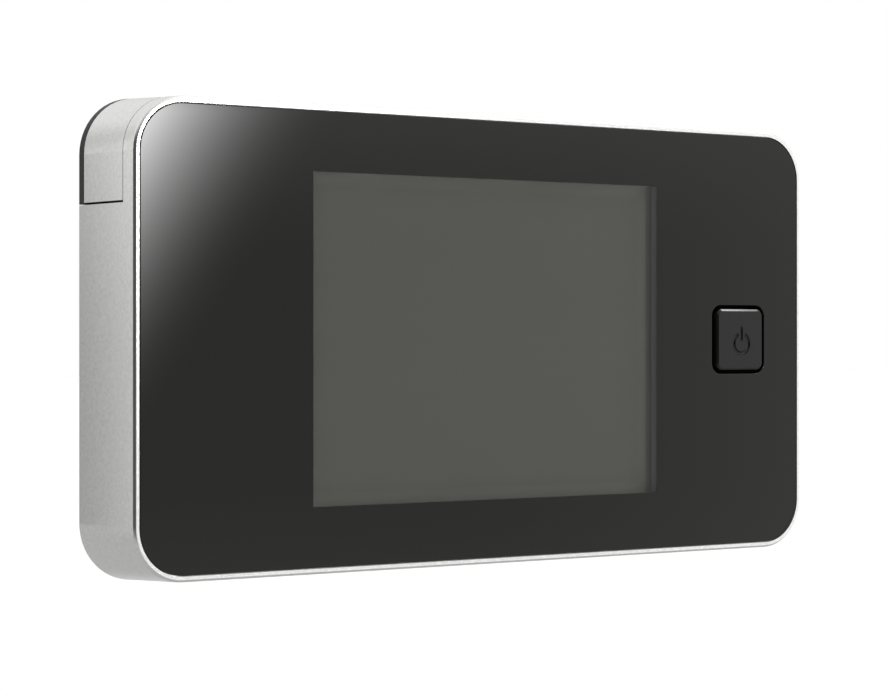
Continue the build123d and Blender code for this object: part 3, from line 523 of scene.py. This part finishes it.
def build_floor():
    """Wide pale floor below the object, which glows a little where the camera sees it."""
    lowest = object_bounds()[0][2] - FLOOR_DROP
    mesh = bpy.data.meshes.new("floor")
    corners = [(-1, -1), (1, -1), (1, 1), (-1, 1)]
    mesh.from_pydata([(x * FLOOR_REACH, y * FLOOR_REACH, lowest) for x, y in corners], [], [(0, 1, 2, 3)])
    floor = bpy.data.objects.new("floor", mesh)
    bpy.context.scene.collection.objects.link(floor)
    material, tree, shader = new_material("pale_floor")
    shader.inputs["Base Color"].default_value = FLOOR_COLOUR
    shader.inputs["Roughness"].default_value = FLOOR_ROUGHNESS
    shader.inputs["Specular IOR Level"].default_value = 0.0
    lift = add_node(tree, "ShaderNodeEmission")
    strength = calculate(tree, "MULTIPLY", seen_directly(tree), FLOOR_LIFT)
    tree.links.new(strength, lift.inputs["Strength"])
    both = add_node(tree, "ShaderNodeAddShader")
    tree.links.new(shader.outputs[0], both.inputs[0])
    tree.links.new(lift.outputs[0], both.inputs[1])
    tree.links.new(both.outputs[0], tree.nodes["Material Output"].inputs["Surface"])
    mesh.materials.append(material)
    floor.visible_glossy = False


def build_reflector():
    """Soft card beside the object that brightens the front of its side wall."""
    data = bpy.data.lights.new("reflector", "AREA")
    data.shape = "RECTANGLE"
    data.size, data.size_y = CARD_SIZE
    data.energy = CARD_LIGHT * math.pi * CARD_SIZE[0] * CARD_SIZE[1]
    card = bpy.data.objects.new("reflector", data)
    card.location = CARD_PLACE
    towards = Vector(CARD_AIM) - Vector(CARD_PLACE)
    card.rotation_euler = towards.to_track_quat("-Z", "Y").to_euler()
    bpy.context.scene.collection.objects.link(card)


build_camera()
build_world()
build_floor()
build_reflector()


# Casing, front panel and button

def silver_casing():
    """Metallic paint: fine grain with speckles a little lighter or darker."""
    material, tree, shader = grained("silver_shell", SILVER_ROUGHNESS, METAL_GLOSS_SHARE,
                                     SILVER_GRAIN_SIZE, SILVER_GRAIN_DEPTH)
    pattern = noise(tree, place_on_piece(tree).point, SPECKLE_SIZE)
    speckle = scaled(tree, pattern, NOISE_LOW, NOISE_HIGH)
    tree.links.new(blended(tree, speckle, SPECKLE_DARK, SPECKLE_LIGHT), shader.inputs["Base Color"])
    shader.inputs["Metallic"].default_value = 1.0
    return material


def deep_in_panel(tree, place):
    """1 on what lies more than the painted shade depth behind the panel's front."""
    start = panel_front + PAINTED_SHADE_DEPTH
    return scaled(tree, place.y, start - SLIVER, start + SLIVER)


def in_button_hole(tree, place):
    """1 on what lies deep in the button's hole, within the width and height of the cap's flange."""
    across = inside(tree, place.x, cap_low.x, cap_high.x)
    upright = inside(tree, place.z, cap_low.z, cap_high.z)
    opening = calculate(tree, "MULTIPLY", across, upright)
    return calculate(tree, "MULTIPLY", opening, deep_in_panel(tree, place))


def dulled_as_painted_shade(tree, shader, share, gloss):
    """Takes the gloss away where the share is 1, so that the surface shows black there as painted shade.
    """
    tree.links.new(scaled(tree, share, 0.0, 1.0, gloss, 0.0), shader.inputs["Specular IOR Level"])


def button_black():
    """Satin black plastic, with its gloss taken away on the flange behind the panel as painted shade."""
    material = moulded("black_button")
    tree = material.node_tree
    deep = deep_in_panel(tree, place_on_piece(tree))
    dulled_as_painted_shade(tree, tree.nodes["Principled BSDF"], deep, BUTTON_GLOSS)
    return material


def front_glass():
    """Black behind its gloss and clear over the screen, where the print's edge shows grey through it: a
    grey painted paler than the print itself to make up for the shade on it.
    """
    material, tree, shader = new_material("front_glass")
    place = place_on_piece(tree)
    # Painted shade: no gloss deep in the button's hole
    dulled_as_painted_shade(tree, shader, in_button_hole(tree, place), PANEL_GLOSS)
    across = inside(tree, place.x, WINDOW_CENTRE - WINDOW_WIDTH / 2, WINDOW_CENTRE + WINDOW_WIDTH / 2)
    upright = inside(tree, place.z, -WINDOW_HEIGHT / 2, WINDOW_HEIGHT / 2)
    window = calculate(tree, "MULTIPLY", across, upright)
    from_within = add_node(tree, "ShaderNodeNewGeometry").outputs["Backfacing"]
    # Painted light: the inside of the black part is the print's edge grey, far paler than the print, to
    # make up for the shade it lies in
    tree.links.new(blended(tree, from_within, PANEL_BLACK, PRINT_EDGE_WITH_PAINTED_LIGHT), shader.inputs["Base Color"])
    shader.inputs["Roughness"].default_value = PANEL_ROUGHNESS
    shader.inputs["IOR"].default_value = LENS_REFRACTION
    pane = clear(tree, LENS_REFRACTION, PANEL_ROUGHNESS, PANE_TINT, PANE_TINT)
    output = tree.nodes["Material Output"]
    tree.links.new(mixed(tree, window, shader.outputs[0], pane), output.inputs["Surface"])
    return material


def screen_glass():
    """Switched-off screen: a matt grey active area in a border, with painted light near its edges: a
    paler grey that makes up for the shade the frame casts there.
    """
    material, tree, shader = new_material("screen_glass")
    place = place_on_piece(tree)
    right = WINDOW_CENTRE + WINDOW_WIDTH / 2 - ACTIVE_RIGHT_GAP
    across = inside(tree, place.x, right - ACTIVE_WIDTH, right)
    upright = inside(tree, place.z, -ACTIVE_HEIGHT / 2, ACTIVE_HEIGHT / 2)
    active = calculate(tree, "MULTIPLY", across, upright)
    tone = noise(tree, place.point, SCREEN_TONE_SIZE, PLAIN_DETAIL)
    grey = blended(tree, tone, SCREEN_DARK, SCREEN_LIGHT)
    # Painted light: paler grey within a given width of the right side and of the ends, making up for the
    # frame's shade there
    from_side = calculate(tree, "SUBTRACT", right, place.x)
    from_end = calculate(tree, "SUBTRACT", WINDOW_HEIGHT / 2, calculate(tree, "ABSOLUTE", place.z))
    side_painted_light = scaled(tree, from_side, 0.0, PAINTED_LIGHT_WIDTH, PAINTED_LIGHT_SIDE_SHARE, 0.0)
    end_painted_light = scaled(tree, from_end, 0.0, PAINTED_LIGHT_WIDTH, 1.0, 0.0)
    painted_lift = calculate(tree, "MAXIMUM", side_painted_light, end_painted_light)
    grey = blended(tree, painted_lift, grey, PAINTED_LIGHT_GREY)
    tree.links.new(blended(tree, active, SCREEN_BORDER, grey), shader.inputs["Base Color"])
    shader.inputs["Roughness"].default_value = SCREEN_ROUGHNESS
    shader.inputs["Specular IOR Level"].default_value = SCREEN_GLOSS
    return material


# Circuit boards, ribbon and cells

def circuit_board():
    """Green board with patches of parallel traces and tinned via holes."""
    material, tree, shader = new_material("circuit_board")
    place = place_on_piece(tree)
    patch = noise(tree, place.point, TRACE_PATCH, PLAIN_DETAIL)
    along = calculate(tree, "MULTIPLY", stripes(tree, place.z, TRACE_PITCH, TRACE_SHARE),
                      scaled(tree, patch, PATCH_ALONG_FROM, PATCH_ALONG_FROM + PATCH_EDGE))
    across = calculate(tree, "MULTIPLY", stripes(tree, place.x, TRACE_PITCH, TRACE_SHARE),
                       scaled(tree, patch, PATCH_ACROSS_FROM, PATCH_ACROSS_FROM - PATCH_EDGE))
    traces = calculate(tree, "MAXIMUM", along, across)
    cells = add_node(tree, "ShaderNodeTexVoronoi")
    tree.links.new(place.point, cells.inputs["Vector"])
    cells.inputs["Scale"].default_value = 1 / VIA_SPACING
    vias = calculate(tree, "LESS_THAN", cells.outputs["Distance"], VIA_RADIUS_SHARE)
    green = blended(tree, traces, BOARD_GREEN, TRACE_GREEN)
    tree.links.new(blended(tree, vias, green, VIA_TIN), shader.inputs["Base Color"])
    tree.links.new(vias, shader.inputs["Metallic"])
    shader.inputs["Roughness"].default_value = BOARD_ROUGHNESS
    relief(tree, shader, traces, TRACE_RELIEF)
    return material


def flex_film():
    """Amber film with copper conductors side by side."""
    material, tree, shader = new_material("flex_film")
    conductors = stripes(tree, place_on_piece(tree).x, RIBBON_PITCH, RIBBON_SHARE)
    tree.links.new(blended(tree, conductors, FILM_AMBER, FILM_COPPER), shader.inputs["Base Color"])
    shader.inputs["Roughness"].default_value = BOARD_ROUGHNESS
    relief(tree, shader, conductors, RIBBON_RELIEF)
    return material


def cell_jacket():
    """Plain blue wrap that leaves the steel of the cells' ends bare."""
    material, tree, shader = new_material("cell_jacket")
    x = place_on_piece(tree).x
    wrapped = 0.0
    for node in ("battery_cell_left", "battery_cell_right"):
        low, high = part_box(node)
        wrap = inside(tree, x, low[0] + CELL_RIM, high[0] - 2 * CELL_RIM)
        wrapped = calculate(tree, "MAXIMUM", wrapped, wrap)
    tree.links.new(blended(tree, wrapped, CELL_STEEL, CELL_BLUE), shader.inputs["Base Color"])
    tree.links.new(calculate(tree, "SUBTRACT", 1.0, wrapped), shader.inputs["Metallic"])
    shader.inputs["Roughness"].default_value = CELL_ROUGHNESS
    return material


# Finish of each material slot

PATTERNED = {
    "silver_shell": silver_casing,
    "black_button": button_black,
    "front_glass": front_glass,
    "screen_glass": screen_glass,
    "circuit_board": circuit_board,
    "flex_film": flex_film,
    "cell_jacket": cell_jacket,
}


def finish_for(slot):
    if slot in PATTERNED:
        return PATTERNED[slot]()
    if slot in MOULDED:
        return moulded(slot)
    if slot in METALS:
        return metal(slot)
    return glass(slot)


slot_of = {part["node"]: part["material_slot"] for part in frame["record"]["subparts"]}
made = {slot: finish_for(slot) for slot in dict.fromkeys(slot_of.values())}
for node, slot in slot_of.items():
    for holder in frame["nodes"][node].material_slots:
        holder.material = made[slot]


# Pieces with detail that the solids leave out

def welded(node):
    """Corners and faces of a solid, joined where its faces meet."""
    shape = bmesh.new()
    shape.from_mesh(frame["nodes"][node].data)
    bmesh.ops.remove_doubles(shape, verts=shape.verts, dist=WELD)
    shape.verts.index_update()
    corners = [corner.co.copy() for corner in shape.verts]
    faces = [[corner.index for corner in face.verts] for face in shape.faces]
    shape.free()
    return corners, faces


def new_mesh(name, corners, faces):
    mesh = bpy.data.meshes.new(name)
    mesh.from_pydata(corners, [], faces)
    shape = bmesh.new()
    shape.from_mesh(mesh)
    bmesh.ops.recalc_face_normals(shape, faces=shape.faces)
    shape.to_mesh(mesh)
    shape.free()
    return mesh


def joined_mesh(shapes):
    """One mesh from several lists of corners and faces."""
    corners, faces = [], []
    for shape_corners, shape_faces in shapes:
        start = len(corners)
        corners += shape_corners
        faces += [[start + index for index in face] for face in shape_faces]
    return new_mesh("joined", corners, faces)


def placed(name, mesh):
    piece = bpy.data.objects.new(name, mesh)
    bpy.context.scene.collection.objects.link(piece)
    return piece


def smoothed(mesh):
    for face in mesh.polygons:
        face.use_smooth = True
    mesh.set_sharp_from_angle(angle=SHARP_ANGLE)


def dressed(name, mesh, node, body):
    """Shows a finished mesh in place of a solid, in the same material."""
    slot = slot_of[node]
    smoothed(mesh)
    mesh.materials.clear()
    mesh.materials.append(made[slot])
    piece = placed(name, mesh)
    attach(piece, body)
    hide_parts(node)


def carved(name, block, node, body, cutters):
    """Sinks shapes into a block and shows what is left in place of a solid."""
    tool = placed(name + "_tool", joined_mesh(cutters))
    step = block.modifiers.new("sink", "BOOLEAN")
    step.operation = "DIFFERENCE"
    step.solver = "EXACT"
    step.object = tool
    whole = block.evaluated_get(bpy.context.evaluated_depsgraph_get())
    mesh = bpy.data.meshes.new_from_object(whole)
    mesh.name = name
    bpy.data.objects.remove(tool)
    bpy.data.objects.remove(block)
    dressed(name, mesh, node, body)


def rings_joined(rings, tip_start, tip_end):
    """Skin over rings of equal length, closed by a tip at each end."""
    count = len(rings[0])
    corners = [corner for ring in rings for corner in ring] + [tip_start, tip_end]
    faces = []
    for row in range(len(rings) - 1):
        for index in range(count):
            after = (index + 1) % count
            faces.append([row * count + index, row * count + after,
                          (row + 1) * count + after, (row + 1) * count + index])
    last = (len(rings) - 1) * count
    for index in range(count):
        after = (index + 1) % count
        faces.append([after, index, len(corners) - 2])
        faces.append([last + index, last + after, len(corners) - 1])
    return corners, faces


# Standby sign on the button

def round_stroke(path, radius):
    """Round-ended tube along a path."""
    first, last = (path[1] - path[0]).normalized(), (path[-1] - path[-2]).normalized()
    stations = []
    for tilt in reversed(END_TILTS):
        stations.append((path[0] - first * radius * math.sin(tilt), first, radius * math.cos(tilt)))
    for index, point in enumerate(path):
        onward = (path[min(index + 1, len(path) - 1)] - path[max(index - 1, 0)]).normalized()
        stations.append((point, onward, radius))
    for tilt in END_TILTS:
        stations.append((path[-1] + last * radius * math.sin(tilt), last, radius * math.cos(tilt)))
    depth = Vector((0, 1, 0))
    turns = [2 * math.pi * index / STROKE_SIDES for index in range(STROKE_SIDES)]
    rings = []
    for point, onward, reach in stations:
        side = onward.cross(depth)
        rings.append([point + (side * math.cos(turn) + depth * math.sin(turn)) * reach for turn in turns])
    return rings_joined(rings, path[0] - first * radius, path[-1] + last * radius)


def standby_sign():
    """Ring open at the top with an upright bar in its opening."""
    cap_middle = (cap_low + cap_high) / 2
    depth = cap_low.y - SIGN_STROKE + SIGN_DEPTH
    middle = Vector((cap_middle.x + SIGN_SHIFT, depth, cap_middle.z - SIGN_DROP))
    sweep = 2 * math.pi - 2 * SIGN_OPENING
    turns = [SIGN_OPENING + sweep * step / SIGN_STEPS for step in range(SIGN_STEPS + 1)]
    ring = [middle + Vector((math.sin(turn), 0, math.cos(turn))) * SIGN_RADIUS for turn in turns]
    bar = [middle + Vector((0, 0, SIGN_BAR_LOW)), middle + Vector((0, 0, SIGN_BAR_HIGH))]
    return [round_stroke(ring, SIGN_STROKE), round_stroke(bar, SIGN_STROKE)]


carved("power_button_cap", placed("cap_block", new_mesh("cap", *welded("button_cap"))),
       "button_cap", "power_button", standby_sign())


# Print behind the lens

def set_back_front(node, gap):
    """Mesh of a solid whose front face lies a gap further back, clear of what it touches."""
    corners, faces = welded(node)
    front = min(corner.y for corner in corners)
    for corner in corners:
        if corner.y < front + gap:
            corner.y += gap
    return new_mesh(node, corners, faces)


dressed("printed_mask", set_back_front("lens_mask", PRINT_GAP), "lens_mask", "monitor")


# Screws

def solid_boxes(node):
    """Lowest and highest corner of each separate solid in a node."""
    corners, faces = welded(node)
    group_of = list(range(len(corners)))

    def leader(index):
        while group_of[index] != index:
            index = group_of[index]
        return index

    for face in faces:
        for index in face[1:]:
            group_of[leader(index)] = leader(face[0])
    groups = {}
    for index, corner in enumerate(corners):
        groups.setdefault(leader(index), []).append(corner)
    return [(Vector(map(min, zip(*group))), Vector(map(max, zip(*group)))) for group in groups.values()]


def ring_around(middle, y, radii):
    """Points around an axis along Y."""
    ring = []
    for side, radius in enumerate(radii):
        turn = 2 * math.pi * side / len(radii)
        ring.append(Vector((middle.x + radius * math.cos(turn), y, middle.z + radius * math.sin(turn))))
    return ring


def thread_radii(along, way, thread):
    """Radius at each side of a right-hand thread, so far along it."""
    radii = []
    for side in range(SCREW_SIDES):
        share = (along / thread.pitch + way * side / SCREW_SIDES) % 1
        radii.append(thread.crest - thread.depth * abs(2 * share - 1))
    return radii


def screw_skin(middle, tip, seat, top, head_radius, thread):
    """Pan-head screw from its tip, past the seat under its head, to its top."""
    way = 1 if top > seat else -1
    rows = math.ceil(abs(seat - tip) / thread.pitch * ROWS_A_TURN)
    core = [thread.crest - thread.depth] * SCREW_SIDES
    rings = [ring_around(middle, tip, core)]
    for row in range(1, rows):
        along = abs(seat - tip) * row / rows
        rings.append(ring_around(middle, tip + way * along, thread_radii(along, way, thread)))
    rings.append(ring_around(middle, seat, core))
    rings.append(ring_around(middle, seat, [head_radius] * SCREW_SIDES))
    edge = abs(top - seat) * HEAD_EDGE_SHARE
    for tilt in HEAD_TILTS:
        reach = head_radius - edge * (1 - math.cos(tilt))
        rings.append(ring_around(middle, top - way * edge * (1 - math.sin(tilt)), [reach] * SCREW_SIDES))
    return rings_joined(rings, Vector((middle.x, tip, middle.z)), Vector((middle.x, top, middle.z)))


def cross_outline():
    """Corners of a cross in a head of radius 1."""
    outline = []
    for turn in CROSS_TURNS:
        for long, wide in ((CROSS_LONG_SHARE, -CROSS_WIDE_SHARE), (CROSS_LONG_SHARE, CROSS_WIDE_SHARE),
                           (CROSS_WIDE_SHARE, CROSS_WIDE_SHARE)):
            outline.append((long * math.cos(turn) - wide * math.sin(turn),
                            long * math.sin(turn) + wide * math.cos(turn)))
    return outline


def cross_recess(middle, seat, top, head_radius):
    """Tapered cross that a driver turns the screw by."""
    height = top - seat
    outline = cross_outline()
    corners = []
    for y, reach in ((top + height, head_radius), (top, head_radius),
                     (top - height * CROSS_DEPTH_SHARE, head_radius * CROSS_FLOOR_SHARE)):
        corners += [Vector((middle.x + x * reach, y, middle.z + z * reach)) for x, z in outline]
    count = len(outline)
    faces = [list(range(count)), list(range(2 * count, 3 * count))]
    for level in (0, count):
        for index in range(count):
            after = (index + 1) % count
            faces.append([level + index, level + after, level + count + after, level + count + index])
    return corners, faces


def dressed_screws(node, body, head_height, thread, way=1):
    """Threads and cross recesses for a node's screws, whose heads lie at its +Y or -Y end."""
    screws, crosses = [], []
    for low, high in solid_boxes(node):
        middle = (low + high) / 2
        head_radius = (high.x - low.x) / 2
        tip, top = (low.y, high.y) if way > 0 else (high.y, low.y)
        seat = top - way * head_height
        screws.append(screw_skin(middle, tip, seat, top, head_radius, thread))
        crosses.append(cross_recess(middle, seat, top, head_radius))
    carved("threaded_" + node, placed(node + "_block", joined_mesh(screws)), node, body, crosses)


for node in ("board_screws", "tray_screws", "case_screws"):
    dressed_screws(node, "monitor", SMALL_HEAD_HEIGHT, SMALL_THREAD)
dressed_screws("sensor_screws", "camera", SMALL_HEAD_HEIGHT, SMALL_THREAD)
dressed_screws("clamp_screws", "door_bracket", CLAMP_HEAD_HEIGHT, CLAMP_THREAD, way=-1)
